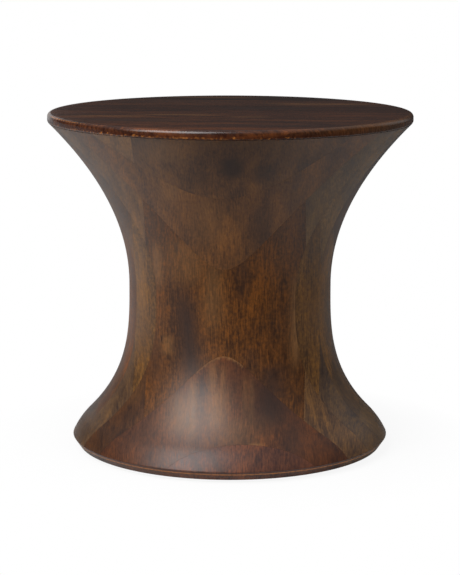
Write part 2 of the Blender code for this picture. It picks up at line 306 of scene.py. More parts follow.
    # Satin lacquer: a little duller over the open fibres, and it sinks into the pores and pits
    roughness = add_node(tree, "ShaderNodeMapRange",
                         {"Value": patterns["fibres"], "From Min": 0.3, "From Max": 0.7,
                          "To Min": dullness[0], "To Max": dullness[1]}).outputs["Result"]
    relief = add_node(tree, "ShaderNodeMath", {0: darker, 1: -0.8, 2: patterns["fibres"]},
                      operation="MULTIPLY_ADD")
    bump = add_node(tree, "ShaderNodeBump",
                    {"Strength": 0.25, "Distance": 0.0002, "Height": relief.outputs[0]}).outputs[0]
    shader = add_node(tree, "ShaderNodeBsdfPrincipled",
                      {"Base Color": colour, "Roughness": roughness, "IOR": 1.5, "Normal": bump})
    add_node(tree, "ShaderNodeOutputMaterial", {"Surface": shader.outputs[0]})
    return material


def pressed_felt(name, colours):
    """Wool felt, pressed and cut: matt, with a fuzz of fibres about 1 mm long in no direction."""
    material = bpy.data.materials.new(name)
    material.use_nodes = True
    tree = material.node_tree
    tree.nodes.clear()
    place = add_node(tree, "ShaderNodeTexCoord").outputs["Object"]
    fuzz = add_node(tree, "ShaderNodeTexNoise",
                    {"Vector": place, "Scale": 1000.0, "Detail": 4.0, "Distortion": 1.5}).outputs["Fac"]
    shade = add_node(tree, "ShaderNodeMapRange",
                     {"Value": fuzz, "From Min": 0.3, "From Max": 0.7,
                      "To Min": 0.6, "To Max": 1.3}).outputs["Result"]
    colour = add_node(tree, "ShaderNodeVectorMath", {0: tuple(colours.felt), "Scale": shade},
                      operation="SCALE").outputs[0]
    bump = add_node(tree, "ShaderNodeBump", {"Strength": 0.8, "Distance": 0.0005, "Height": fuzz}).outputs[0]
    shader = add_node(tree, "ShaderNodeBsdfPrincipled",
                      {"Base Color": colour, "Roughness": 0.95, "Normal": bump, "Sheen Weight": 0.3})
    add_node(tree, "ShaderNodeOutputMaterial", {"Surface": shader.outputs[0]})
    return material


def body_profile(sizes):
    """Radius and height along the turned body, from above its top down the outside to below its foot.

    Each flare's radius is the waist's plus the widening times a power of the rise, and the power is the one
    that gives the lean at its end. At the foot a round follows, then a sharp edge and a straight undercut.
    """
    waist = sizes.waist_diameter / 2
    top = sizes.height - sizes.seat_thickness
    rim = sizes.seat_diameter / 2 - sizes.seat_overhang
    length = top - sizes.waist_height
    power = math.tan(RIM_LEAN) * length / (rim - waist)
    rise = np.linspace(1.03, 0.0, FLARE_ROWS)
    radius = waist + (rim - waist) * rise ** power
    upper = np.column_stack((radius, sizes.waist_height + length * rise))
    base = sizes.base_diameter / 2
    angle = np.linspace(BASE_LEAN, BASE_EDGE_ANGLE, FOOT_ROWS)
    inward = BASE_ROUND * (math.cos(BASE_EDGE_ANGLE) - np.cos(angle))
    upward = BASE_ROUND * (np.sin(angle) - math.sin(BASE_EDGE_ANGLE))
    foot_round = np.column_stack((base - inward, BASE_EDGE_HEIGHT + upward))
    round_radius, round_height = foot_round[0]
    length = sizes.waist_height - round_height
    power = math.tan(BASE_LEAN) * length / (round_radius - waist)
    rise = np.linspace(0.0, 1.0, FLARE_ROWS)[1:-1]
    radius = waist + (round_radius - waist) * rise ** power
    lower = np.column_stack((radius, sizes.waist_height - length * rise))
    drop = np.append(np.linspace(0.03, 0.51, 17), (0.7, 1.0, 1.3))
    undercut = np.column_stack((base - UNDERCUT_WIDTH * drop,
                                BASE_EDGE_HEIGHT - (BASE_EDGE_HEIGHT - FOOT_HEIGHT) * drop))
    return np.vstack((upper, lower, foot_round, undercut))


def turned_solid(name, profile, steps=TURNED_STEPS):
    """A closed solid: each profile point's radius carried round the axis in equal steps, with flat ends."""
    angle = np.linspace(0.0, 2 * math.pi, steps, endpoint=False)
    rows = len(profile)
    points = np.empty((rows, steps, 3))
    points[:, :, 0] = profile[:, :1] * np.cos(angle)
    points[:, :, 1] = profile[:, :1] * np.sin(angle)
    points[:, :, 2] = profile[:, 1:]
    index = np.arange(rows * steps).reshape(rows, steps)
    following = np.roll(index, -1, axis=1)
    walls = np.stack((index[1:], following[1:], following[:-1], index[:-1]), axis=-1).reshape(-1, 4)
    ends = [index[0].tolist(), index[-1, ::-1].tolist()]
    mesh = bpy.data.meshes.new(name)
    mesh.from_pydata(points.reshape(-1, 3), [], walls.tolist() + ends)
    solid = bpy.data.objects.new(name, mesh)
    bpy.context.scene.collection.objects.link(solid)
    return solid


def plan_corners(distances, normals, gap):
    """Corners of a plank's plan, where each of its four joint lines meets the next.

    A line is all the points whose part along its outward normal is its distance less half the glue line.
    """
    angle = np.radians(np.array(normals, float))
    across = np.column_stack((np.cos(angle), np.sin(angle)))
    reach = np.array(distances, float) - gap / 2
    pairs = np.stack((across, np.roll(across, -1, axis=0)), axis=1)
    limits = np.stack((reach, np.roll(reach, -1)), axis=1)
    return np.linalg.solve(pairs, limits[:, :, None])[:, :, 0]


def cut_plank(name, corners, heights, blank):
    """A prism over four plan corners, kept where the turned blank is. Returns the finished mesh."""
    low, high = heights
    points = np.vstack((np.column_stack((corners, np.full(4, low))),
                        np.column_stack((corners, np.full(4, high)))))
    sides = [(side, (side + 1) % 4, 4 + (side + 1) % 4, 4 + side) for side in range(4)]
    mesh = bpy.data.meshes.new(name + "_prism")
    mesh.from_pydata(points, [], sides + [(3, 2, 1, 0), (4, 5, 6, 7)])
    prism = bpy.data.objects.new(name + "_prism", mesh)
    bpy.context.scene.collection.objects.link(prism)
    cut = prism.modifiers.new("turned", "BOOLEAN")
    cut.operation = "INTERSECT"
    cut.solver = "MANIFOLD"
    cut.object = blank
    view = bpy.context.evaluated_depsgraph_get()
    finished = bpy.data.meshes.new_from_object(prism.evaluated_get(view))
    finished.name = name
    bpy.data.objects.remove(prism)
    bpy.data.meshes.remove(mesh)
    if not finished.polygons:
        raise RuntimeError(name + " has no wood left inside the turned blank")
    return finished


def turned_normals(mesh, profile, corners, heights):
    """Give the turned faces the true normals of the profile, and leave the joint faces flat.

    A turned point's normal leans from the radius by the profile's slope. A joint face is one whose corners
    all lie on one of the plank's own planes.
    """
    points = np.empty(len(mesh.vertices) * 3)
    mesh.vertices.foreach_get("co", points)
    points = points.reshape(-1, 3)
    corner_points = np.empty(len(mesh.loops), int)
    mesh.loops.foreach_get("vertex_index", corner_points)
    starts = np.empty(len(mesh.polygons), int)
    mesh.polygons.foreach_get("loop_start", starts)
    counts = np.empty(len(mesh.polygons), int)
    mesh.polygons.foreach_get("loop_total", counts)
    face_normals = np.empty(len(mesh.polygons) * 3)
    mesh.polygons.foreach_get("normal", face_normals)
    face_normals = face_normals.reshape(-1, 3)
    order = np.argsort(profile[:, 1], kind="stable")
    steps = np.gradient(profile[:, 0]) / np.gradient(profile[:, 1])
    lean = np.interp(points[:, 2], profile[order, 1], steps[order])
    around = points[:, :2] / np.linalg.norm(points[:, :2], axis=1, keepdims=True).clip(1e-9)
    normals = np.column_stack((around, -lean))
    normals /= np.linalg.norm(normals, axis=1, keepdims=True)
    flat = np.zeros(len(mesh.polygons), bool)
    edges = np.roll(corners, -1, axis=0) - corners
    for corner, edge in zip(corners, edges):
        outward = np.array((edge[1], -edge[0])) / np.linalg.norm(edge)
        distance = np.abs((points[:, :2] - corner) @ outward)
        flat |= np.maximum.reduceat(distance[corner_points], starts) < ON_PLANE
    for height in heights:
        distance = np.abs(points[:, 2] - height)
        flat |= np.maximum.reduceat(distance[corner_points], starts) < ON_PLANE
    of_face = np.repeat(np.arange(len(starts)), counts)
    chosen = np.where(flat[of_face][:, None], face_normals[of_face], normals[corner_points])
    mesh.polygons.foreach_set("use_smooth", np.ones(len(mesh.polygons), bool))
    mesh.normals_split_custom_set(chosen)
    return points


def set_attribute(mesh, name, kind, values):
    """Store one value for each point of a mesh, for its material to read."""
    attribute = mesh.attributes.new(name, kind, "POINT")
    key = {"FLOAT": "value", "FLOAT_VECTOR": "vector", "FLOAT_COLOR": "color"}[kind]
    attribute.data.foreach_set(key, np.ascontiguousarray(values, np.float32).ravel())


def finish_piece(name, mesh, material):
    """Link a finished mesh in place of its CAD node."""
    mesh.materials.clear()
    mesh.materials.append(material)
    piece = bpy.data.objects.new(name + "_fine", mesh)
    bpy.context.scene.collection.objects.link(piece)
    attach(piece, "root")
    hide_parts(name)
    return piece


# Planks of the front half, and of the left. Each has its joint lines' distances to the right, back, left and
# front, and the turns of the back and front lines where they are slanted. The other half is the same, turned
# by half a turn about the axis.
COLUMN = {
    "front_face_board": (FACE_HALF_WIDTH, -INNER_JOINT, FACE_HALF_WIDTH, COLUMN_FACE),
    "front_inner_board": (INNER_HALF_WIDTH, -CORE_FACE, INNER_HALF_WIDTH, INNER_JOINT),
    "left_inner_cheek": (-CORE_FACE, CORE_FACE, INNER_JOINT, CORE_FACE),
    "left_outer_cheek": (-INNER_JOINT, CORE_FACE, COLUMN_FACE, CORE_FACE),
}
QUARTERS = {
    "front_left_face_block": (-FACE_HALF_WIDTH, -INNER_JOINT, REACH, COLUMN_FACE),
    "front_right_face_block": (REACH, -INNER_JOINT, -FACE_HALF_WIDTH, COLUMN_FACE),
    "front_left_quarter_block": (-INNER_HALF_WIDTH, -CORE_FACE, REACH, INNER_JOINT),
    "front_right_quarter_block": (REACH, -CORE_FACE, -INNER_HALF_WIDTH, INNER_JOINT),
}
UPPER = {
    "front_inner_block": (REACH, -COLUMN_FACE, REACH, UPPER_JOINT),
    "front_outer_block": (REACH, -UPPER_JOINT, CORNER_JOINT, REACH),
    "front_corner_block": (-CORNER_JOINT, -UPPER_JOINT, REACH, REACH),
    "left_inner_block": (-COLUMN_FACE, CORE_FACE, UPPER_JOINT, CORE_FACE),
    "left_outer_block": (-UPPER_JOINT, CORE_FACE, REACH, CORE_FACE),
    **QUARTERS,
}
LOWER = {
    "front_inner_block": (REACH, -COLUMN_FACE, REACH, LOWER_OUTER_JOINT),
    "front_outer_block": (REACH, -LOWER_OUTER_JOINT, REACH, REACH),
    "left_inner_block": (-COLUMN_FACE, CORE_FACE, LOWER_SIDE_JOINT, CORE_FACE),
    "left_outer_block": (-LOWER_SIDE_JOINT, CORE_FACE, REACH, CORE_FACE),
    **QUARTERS,
}
SQUARE = (0.0, 90.0, 180.0, 270.0)
SLANTED = {
    "lower_front_inner_block": (0.0, 90.0, 180.0, 270.0 + LOWER_OUTER_TWIST),
    "lower_front_outer_block": (0.0, 90.0 + LOWER_OUTER_TWIST, 180.0, 270.0 + LOWER_OUTER_TWIST),
}
OPPOSITE = {"front": "back", "back": "front", "left": "right", "right": "left"}

# Open pits in the wood: places on the surface
PITS = ((-0.0825, -0.1094, 0.1652), (0.0340, -0.1371, 0.1384),
        (0.0610, 0.1250, 0.1900), (-0.1310, 0.0300, 0.2400))

# How each plank took the stain, and on some planks painted light: red, green and blue shares, and the
# strength of its growth bands
PLAIN_TINT = (1.0, 1.0, 1.0, 0.12)
PLANK_TINTS_AND_PAINTED_LIGHT = {
    # The large green and blue shares of the flank blocks and cheeks paint a grey reflection along the
    # outline
    "upper_front_outer_block": (1.20, 1.32, 1.55, 0.12),
    "upper_front_corner_block": (1.60, 1.90, 2.20, 0.12),
    "upper_front_inner_block": (1.35, 1.40, 1.40, 0.10),
    "upper_front_left_face_block": (1.30, 1.55, 1.90, 0.10),
    "upper_front_right_face_block": (1.35, 1.85, 2.40, 0.10),
    "upper_front_left_quarter_block": (0.85, 0.90, 1.00, 0.10),
    "upper_front_right_quarter_block": (1.40, 1.90, 2.30, 0.10),
    # These two right-hand upper blocks are darker as painted shade, on the side away from the key light
    "upper_right_inner_block": (0.70, 0.70, 0.70, 0.10),
    "upper_right_outer_block": (0.50, 0.50, 0.50, 0.10),
    "upper_left_outer_block": (1.05, 1.10, 1.15, 0.10),
    "front_face_board": (0.92, 0.79, 0.34, 0.10),
    "front_inner_board": (1.25, 1.42, 1.10, 0.10),
    "right_outer_cheek": (1.40, 1.65, 1.50, 0.10),
    "left_outer_cheek": (1.10, 0.90, 0.50, 0.10),
    "lower_front_inner_block": (0.79, 0.62, 0.60, 0.12),
    "lower_front_outer_block": (0.95, 0.76, 1.20, 0.20),
    "lower_front_right_face_block": (1.10, 1.35, 1.70, 0.25),
    "lower_front_left_face_block": (0.52, 0.48, 0.50, 0.10),
    "lower_front_left_quarter_block": (0.80, 1.05, 1.60, 0.10),
    "lower_front_right_quarter_block": (0.85, 1.15, 1.80, 0.10),
    "lower_right_inner_block": (0.95, 1.20, 1.45, 0.10),
    "lower_right_outer_block": (1.00, 1.40, 2.00, 0.10),
    "lower_left_inner_block": (0.85, 0.85, 0.95, 0.10),
    "lower_left_outer_block": (0.60, 0.75, 1.20, 0.10),
    "seat_board_1": (0.64, 0.50, 0.60, 0.60),
    "seat_board_2": (0.54, 0.44, 0.54, 0.60),
    "seat_board_3": (0.48, 0.38, 0.48, 0.60),
    "seat_board_4": (0.32, 0.24, 0.28, 0.60),
    "seat_board_5": (0.48, 0.40, 0.52, 0.60),
    "seat_board_6": (0.22, 0.18, 0.22, 0.60),
}

# Marks in the wood, some of them painted light and shade: kind, place across and up, half width and half
# height in millimetres, slant, strength
MARKS = {
    "upper_front_outer_block": (
        ("heartwood", 13, 401, 20, 15, 0.0, 0.95), ("heartwood", 52, 394, 14, 14, 0.3, 0.7),
        ("heartwood", -22, 386, 16, 12, 0.0, 0.45), ("heartwood", 25, 410, 60, 24, 0.0, 0.35),
        ("sapwood", -72, 420, 26, 14, 0.0, 0.35)),
    "upper_front_inner_block": (
        ("sapwood", -20, 325, 24, 32, 0.0, 0.25), ("heartwood", 18, 250, 36, 38, 0.0, 0.34),
        ("heartwood", 50, 310, 16, 45, -0.1, 0.55),
        ("sapwood", -66, 372, 16, 20, 0.0, 0.3)),
    "front_face_board": (
        ("heartwood", -47, 172, 18, 66, -0.12, 0.85), ("sapwood", 92, 190, 7, 55, 0.0, 0.75),
        ("heartwood", 46, 165, 26, 30, 0.0, 0.15), ("heartwood", -92, 138, 15, 34, 0.0, 0.45),
        ("heartwood", 62, 114, 20, 24, 0.0, 0.75), ("heartwood", 36, 140, 16, 22, 0.0, 0.40),
        ("sapwood", -74, 158, 8, 12, 0.0, 0.4),
        ("sapwood", -88, 262, 8, 28, 0.0, 0.45), ("sapwood", -14, 230, 14, 45, 0.0, 0.35),
        ("sapwood", -46, 270, 28, 30, 0.0, 0.30),
        ("heartwood", 24, 250, 9, 30, 0.0, 0.4)),
    "front_inner_board": (
        ("heartwood", -106, 165, 12, 36, 0.0, 0.4), ("sapwood", -112, 225, 10, 60, 0.0, 0.22),
        ("heartwood", 112, 180, 5, 60, 0.0, 0.15)),
    "lower_front_inner_block": (
        # On this block the sapwood at -50, 78 and -8, 86 paints key light and sheen, and the heartwood at
        # 62, 92 and 90, 50 paints shade at the right
        ("sapwood", -1, 112, 4, 25, 0.0, 0.30), ("sapwood", 28, 98, 4, 25, 0.0, 0.20),
        ("heartwood", 62, 92, 34, 34, 0.0, 0.85), ("heartwood", -40, 60, 3, 24, -0.61, 0.4),
        ("sapwood", -50, 78, 26, 24, 0.0, 0.35), ("heartwood", 17, 124, 16, 26, 0.0, 0.45),
        ("heartwood", -58, 80, 3, 34, -0.1, 0.5), ("sapwood", -39, 85, 7, 34, 0.0, 0.45),
        ("heartwood", -27, 95, 3, 38, 0.0, 0.4), ("sapwood", -14, 118, 7, 26, 0.0, 0.35),
        ("heartwood", 2, 98, 3, 38, 0.0, 0.35), ("heartwood", 24, 100, 4, 44, 0.0, 0.3),
        ("sapwood", 36, 88, 4, 36, 0.0, 0.2),
        ("heartwood", 90, 50, 18, 28, 0.0, 0.55),
        ("heartwood", -104, 55, 22, 24, 0.0, 0.35), ("sapwood", -8, 86, 16, 26, 0.0, 0.40),
        ("sapwood", 43, 45, 10, 3, 0.0, 0.5), ("sapwood", 14, 60, 36, 16, 0.0, 0.22)),
    "lower_front_outer_block": (
        ("heartwood", -35, 30, 5, 20, -0.8, 0.6), ("heartwood", -8, 28, 6, 20, -0.9, 0.6),
        ("heartwood", 40, 32, 14, 10, 0.0, 0.3), ("heartwood", 98, 28, 40, 18, 0.0, 0.30)),
    "lower_front_left_face_block": (
        ("sapwood", -118, 95, 12, 18, 0.3, 0.15), ("heartwood", -96, 88, 10, 16, 0.0, 0.15)),
}
KINDS = {"heartwood": 0, "sapwood": 1}

# Stain and wear below the edge of the foot: strength, depth below the edge and half height
FOOT_STAIN = (0.6, 0.0010, 0.0009)
FOOT_WEAR = (0.75, 0.0036, 0.0013)

# Pale lines painted along joints as a glint: how near the joint, the strength, and the stretch of the arch
# that shows one
JOINT_REACH = 0.0005
JOINT_GLINT = 0.5
ARCH_MIDDLE = -0.006
ARCH_HALF_WIDTH = 0.030

# Stronger figure in the middle of the waist: half width, upper limit, its fade, and the gain
FIGURED_HALF_WIDTH = 0.090
FIGURED_TOP = 0.285
FIGURED_FADE = 0.012
FIGURED_GAIN = 0.5

# Distance of the log's heart from the middle of a plank, and the most that the grain leans in degrees
HEART_DISTANCE = 0.110
GRAIN_LEAN = 3.0


def fade(values, middle, half, power=2):
    """Weight that is 1 at the middle and falls off on both sides over the half size."""
    return np.exp(-((values - middle) / half) ** power)


def mark_weights(points, across, rows):
    """Weight of each kind of mark at each point.

    A mark fades as the square of the place across its slanted middle line, and as the fourth power of the
    height above or below its middle, both over its half sizes.
    """
    weights = np.zeros((len(points), 4))
    for kind, middle, height, half_width, half_height, slant, strength in rows:
        rise = points[:, 2] * 1000 - height
        apart = across * 1000 - middle - slant * rise
        streak = strength * np.exp(-(apart / half_width) ** 2 - (rise / half_height) ** 4)
        weights[:, KINDS[kind]] = np.maximum(weights[:, KINDS[kind]], streak)
    return weights


def chance_marks(chance, middle, extent, count):
    """Streaks of heartwood and sapwood at places drawn by chance over a plank."""
    rows = []
    for index in range(count):
        kind = "heartwood" if index % 2 else "sapwood"
        place = middle + chance.uniform(-extent, extent)
        height = chance.uniform(60, 400)
        half_width = chance.uniform(5, 16)
        half_height = chance.uniform(35, 110)
        slant = chance.uniform(-0.1, 0.1)
        strength = chance.uniform(0.10, 0.35)
        rows.append((kind, place, height, half_width, half_height, slant, strength))
    return rows


def place_in_log(points, chance):
    """Place of each point in the plank's own log, whose heart is on the Z axis.

    The points come as place across the plank, into it and along its grain. They are moved so that the heart
    is 110 mm from the plank's middle at an angle drawn by chance, and the grain leans by up to 3 degrees.
    """
    angle = chance.uniform(0.0, 2 * math.pi)
    middle = (points.min(0) + points.max(0)) / 2
    heart = middle + HEART_DISTANCE * np.array((math.cos(angle), math.sin(angle), 0.0))
    moved = points - heart
    moved[:, 0] += math.tan(math.radians(chance.uniform(-GRAIN_LEAN, GRAIN_LEAN))) * moved[:, 2]
    moved[:, 2] += chance.uniform(0.0, 4.0)
    return moved


def make_planks(level, planks, heights, seed, figure):
    """Cut a level's planks and their half-turned twins, each with its own place in a log and its own stain.

    The figure is the strength of the fine grain: strong on the full-height boards, faint on the upper
    blocks, and half as strong again in the middle of the front and back, up to the top of the waist. The
    listed tints and marks give each plank's tone, and on some planks painted shade, painted light and a
    painted grey reflection.
    """
    sizes = bpy.context.scene.stool_sizes
    profile = body_profile(sizes)
    blank = turned_solid("turned_blank", profile)
    material = bpy.data.materials.get("stained_mango") or stained_mango(
        "stained_mango", bpy.context.scene.stool_colours, (0.39, 0.46))
    chance = np.random.default_rng(seed)
    for plain_name, distances in planks.items():
        front_name = level + plain_name
        normals = SLANTED.get(front_name, SQUARE)
        corners = plan_corners(distances, normals, sizes.glue_line)
        back_name = "_".join(OPPOSITE.get(word, word) for word in front_name.split("_"))
        for name, plan in ((front_name, corners), (back_name, -corners)):
            mesh = cut_plank(name, plan, heights, blank)
            points = turned_normals(mesh, profile, plan, heights)
            sideways = "front" not in name and "back" not in name
            across = points[:, 1] if sideways else points[:, 0]
            depth = points[:, 0] if sideways else points[:, 1]
            log_place = place_in_log(np.column_stack((across, depth, points[:, 2])), chance)
            tint = np.array(PLAIN_TINT)
            tint[:3] *= chance.uniform(0.80, 1.05)
            tint = np.array(PLANK_TINTS_AND_PAINTED_LIGHT.get(name, tint))
            extent = np.ptp(across) * 500
            rows = MARKS.get(name) or chance_marks(chance, across.mean() * 1000, extent, 4)
            weights = mark_weights(points, across, rows)
            below_edge = BASE_EDGE_HEIGHT - points[:, 2]
            weights[:, 2] = FOOT_STAIN[0] * fade(below_edge, *FOOT_STAIN[1:])
            weights[:, 3] = FOOT_WEAR[0] * fade(below_edge, *FOOT_WEAR[1:])
            # Painted glint along the arch joint and along the joint of the right face block
            if name == "lower_front_inner_block":
                on_joint = np.abs(points[:, 1] + COLUMN_FACE) < JOINT_REACH
                on_arch = on_joint & (np.abs(points[:, 0] - ARCH_MIDDLE) < ARCH_HALF_WIDTH)
                weights[:, 1] = np.where(on_arch, JOINT_GLINT, weights[:, 1])
            if name == "lower_front_right_face_block":
                on_joint = points[:, 0] - FACE_HALF_WIDTH < JOINT_REACH
                weights[:, 1] = np.where(on_joint, JOINT_GLINT, weights[:, 1])
            set_attribute(mesh, "log_place", "FLOAT_VECTOR", log_place)
            set_attribute(mesh, "plank_tint", "FLOAT_COLOR", np.tile(tint, (len(points), 1)))
            below_top = 1 / (1 + np.exp((points[:, 2] - FIGURED_TOP) / FIGURED_FADE))
            middle = fade(points[:, 0], 0.0, FIGURED_HALF_WIDTH, 4) * below_top
            set_attribute(mesh, "figure", "FLOAT", figure * (1 + FIGURED_GAIN * middle))
            set_attribute(mesh, "marks", "FLOAT_COLOR", weights)
            finish_piece(name, mesh, material)
    bpy.data.objects.remove(blank)


class StoolColumn(bpy.types.Operator):
    """Make the full-height boards and cheeks round the hollow core"""

    bl_idname = "stool.column"
    bl_label = "Column boards"

    def execute(self, context):
        sizes = context.scene.stool_sizes
        top = sizes.height - sizes.seat_thickness - sizes.glue_line
        make_planks("", COLUMN, (FOOT_HEIGHT, top), seed=11, figure=0.9)
        return {"FINISHED"}


class StoolUpperBlocks(bpy.types.Operator):
    """Make the blocks glued round the top of the column"""

    bl_idname = "stool.upper_blocks"
    bl_label = "Upper blocks"

    def execute(self, context):
        sizes = context.scene.stool_sizes
        top = sizes.height - sizes.seat_thickness - sizes.glue_line
        bottom = sizes.waist_height + sizes.glue_line / 2
        make_planks("upper_", UPPER, (bottom, top), seed=23, figure=0.6)
        return {"FINISHED"}


class StoolLowerBlocks(bpy.types.Operator):
    """Make the blocks glued round the foot of the column"""

    bl_idname = "stool.lower_blocks"
    bl_label = "Lower blocks"

    def execute(self, context):
        sizes = context.scene.stool_sizes
        top = sizes.waist_height - sizes.glue_line / 2
        make_planks("lower_", LOWER, (FOOT_HEIGHT, top), seed=37, figure=0.7)
        return {"FINISHED"}


def seat_profile(sizes):
    """Radius and height round the seat's edge, from the middle of its top to the middle of its underside."""
    outside = sizes.seat_diameter / 2
    under = sizes.height - sizes.seat_thickness
    upper_round = sizes.seat_round
    lower_round = sizes.seat_lower_round
    inward = np.linspace(0.004, outside - upper_round, SEAT_ROWS)
    top = np.column_stack((inward, np.full(SEAT_ROWS, sizes.height)))
    angle = np.linspace(math.pi / 2, 0.0, 12)[1:]
    upper = np.column_stack((outside - upper_round * (1 - np.cos(angle)),
                             sizes.height - upper_round * (1 - np.sin(angle))))
    angle = np.linspace(0.0, -math.pi / 2, 9)
    lower = np.column_stack((outside - lower_round * (1 - np.cos(angle)),
                             under + lower_round * (1 + np.sin(angle))))
    return np.vstack((top, upper, lower))


# Streaks along the seat boards: kind, middle along X and Y, half length and half width in millimetres,
# and strength
SEAT_STREAKS = (
    ("heartwood", -122, -122, 60, 13, 0.7), ("sapwood", -60, -52, 45, 5, 0.5),
    ("sapwood", -150, -73, 50, 6, 0.35), ("heartwood", 50, 45, 65, 14, 0.6),
    ("sapwood", 30, -73, 25, 5, 0.35), ("heartwood", 60, -175, 80, 12, 0.5),
    ("sapwood", 120, 110, 70, 10, 0.3), ("heartwood", -80, 140, 90, 14, 0.5),
    ("sapwood", -40, 205, 60, 9, 0.3))


# Depths below the top of the seat: where the low part of its edge begins, its fade, and the end of its top
LOW_EDGE = 0.0072
LOW_EDGE_FADE = 0.0005
TOP_EDGE = 0.0022


def seat_marks(points, sizes):
    """Weights of the seat's streaks, of the stain gathered low on its edge, and of the wear on the edge.

    A streak fades as the fourth power of the place along it and the square of the place across it. Along the
    edge the weights change with the bearing from the front, most of all at the left front. A pale patch at
    the right front of the edge is a painted reflection.
    """
    weights = np.zeros((len(points), 4))
    for kind, along, across, half_length, half_width, strength in SEAT_STREAKS:
        lengthwise = (points[:, 0] * 1000 - along) / half_length
        sideways = (points[:, 1] * 1000 - across) / half_width
        streak = strength * np.exp(-(lengthwise ** 4 + sideways ** 2))
        weights[:, KINDS[kind]] = np.maximum(weights[:, KINDS[kind]], streak)
    bearing = np.degrees(np.arctan2(points[:, 0], -points[:, 1]))
    on_edge = np.hypot(points[:, 0], points[:, 1]) > sizes.seat_diameter / 2 - sizes.seat_round
    below = sizes.height - points[:, 2]
    low = 1 / (1 + np.exp((LOW_EDGE - below) / LOW_EDGE_FADE))
    left = fade(bearing, -62, 26)
    worn = fade(bearing, -20, 62, 4)
    gathered = np.maximum(low * (0.25 + 0.45 * worn), 0.30 * left * (below > TOP_EDGE))
    rubbed = np.maximum(low * 0.46 * worn, 0.60 * left * fade(below, 0.0012, 0.0009))
    # A pale patch on the right front of the edge: a painted reflection
    painted_sheen = 0.22 * fade(bearing, 58, 30)
    weights[:, 1] = np.where(on_edge, np.maximum(weights[:, 1], painted_sheen), weights[:, 1])
    weights[:, 2] = np.where(on_edge, gathered, 0.0)
    weights[:, 3] = np.where(on_edge, rubbed, 0.0)
    return weights


class StoolSeat(bpy.types.Operator):
    """Make the edge-glued boards of the round seat"""

    bl_idname = "stool.seat"
    bl_label = "Seat boards"

    def execute(self, context):
        sizes = context.scene.stool_sizes
        profile = seat_profile(sizes)
        disc = turned_solid("seat_disc", profile)
        material = stained_mango("stained_mango_seat", context.scene.stool_colours, (0.24, 0.31))
        count = sum(name.startswith("seat_board_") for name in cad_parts)
        if not count:
            raise RuntimeError("The frame has no seat boards")
        width = sizes.seat_diameter / count
        heights = (sizes.height - 2 * sizes.seat_thickness, sizes.height + sizes.seat_thickness)
        chance = np.random.default_rng(5)
        for index in range(count):
            name = "seat_board_" + str(index + 1)
            front = sizes.seat_diameter / 2 - index * width
            corners = plan_corners((REACH, width - front, REACH, front), SQUARE, sizes.glue_line)
            mesh = cut_plank(name, corners, heights, disc)
            mesh.polygons.foreach_set("use_smooth", np.ones(len(mesh.polygons), bool))
            mesh.set_sharp_from_angle(angle=math.radians(35))
            points = np.empty(len(mesh.vertices) * 3)
            mesh.vertices.foreach_get("co", points)
            points = points.reshape(-1, 3)
            set_attribute(mesh, "log_place", "FLOAT_VECTOR", place_in_log(points[:, [1, 2, 0]], chance))
            tint = PLANK_TINTS_AND_PAINTED_LIGHT[name]
            set_attribute(mesh, "plank_tint", "FLOAT_COLOR", np.tile(tint, (len(points), 1)))
            set_attribute(mesh, "figure", "FLOAT", np.full(len(points), 1.0))
            weights = seat_marks(points, sizes)
            set_attribute(mesh, "marks", "FLOAT_COLOR", weights)
            finish_piece(name, mesh, material)
        bpy.data.objects.remove(disc)
        return {"FINISHED"}


class StoolPads(bpy.types.Operator):
    """Make the felt pads under the foot"""

    bl_idname = "stool.pads"
    bl_label = "Felt pads"

    def execute(self, context):
        material = pressed_felt("pressed_felt", context.scene.stool_colours)
        names = [name for name in sorted(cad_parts) if name.startswith("felt_pad_")]
        if not names:
            raise RuntimeError("The frame has no felt pads")
        for name in names:
            low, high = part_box(name)
            radius = (high.x - low.x) / 2
            angle = np.linspace(math.pi / 2, -math.pi / 2, 9)
            outward = radius - PAD_EDGE + PAD_EDGE * np.cos(angle)
            centres = np.where(angle > 0, high.z - PAD_EDGE, low.z + PAD_EDGE)
            outline = np.column_stack((outward, centres + PAD_EDGE * np.sin(angle)))
            inner = np.linspace(0.002, radius - 2 * PAD_EDGE, 6)
            top = np.column_stack((inner, np.full(6, high.z)))
            bottom = np.column_stack((inner[::-1], np.full(6, low.z)))
            solid = turned_solid(name + "_turned", np.vstack((top, outline, bottom)), PAD_STEPS)
            mesh = solid.data
            middle = (low + high) / 2
            mesh.transform(Matrix.Translation((middle.x, middle.y, 0.0)))
            mesh.polygons.foreach_set("use_smooth", np.ones(len(mesh.polygons), bool))
            mesh.set_sharp_from_angle(angle=math.radians(50))
            bpy.data.objects.remove(solid)
            mesh.name = name
            finish_piece(name, mesh, material)
        return {"FINISHED"}


# Soft lights and cards: place, then width and height in metres, and power in watts
SOFTBOXES = {
    "key_softbox": ((-1.02, -1.48, 1.81), (1.6, 1.9), 64.0),
    "fill_softbox": ((1.9, -1.9, 1.6), (2.0, 2.0), 14.0),
    "left_card": ((-1.1, 2.1, 0.7), (1.0, 1.0), 2.4),
    "right_card": ((1.7, 1.3, 1.1), (1.4, 1.2), 2.0),
}


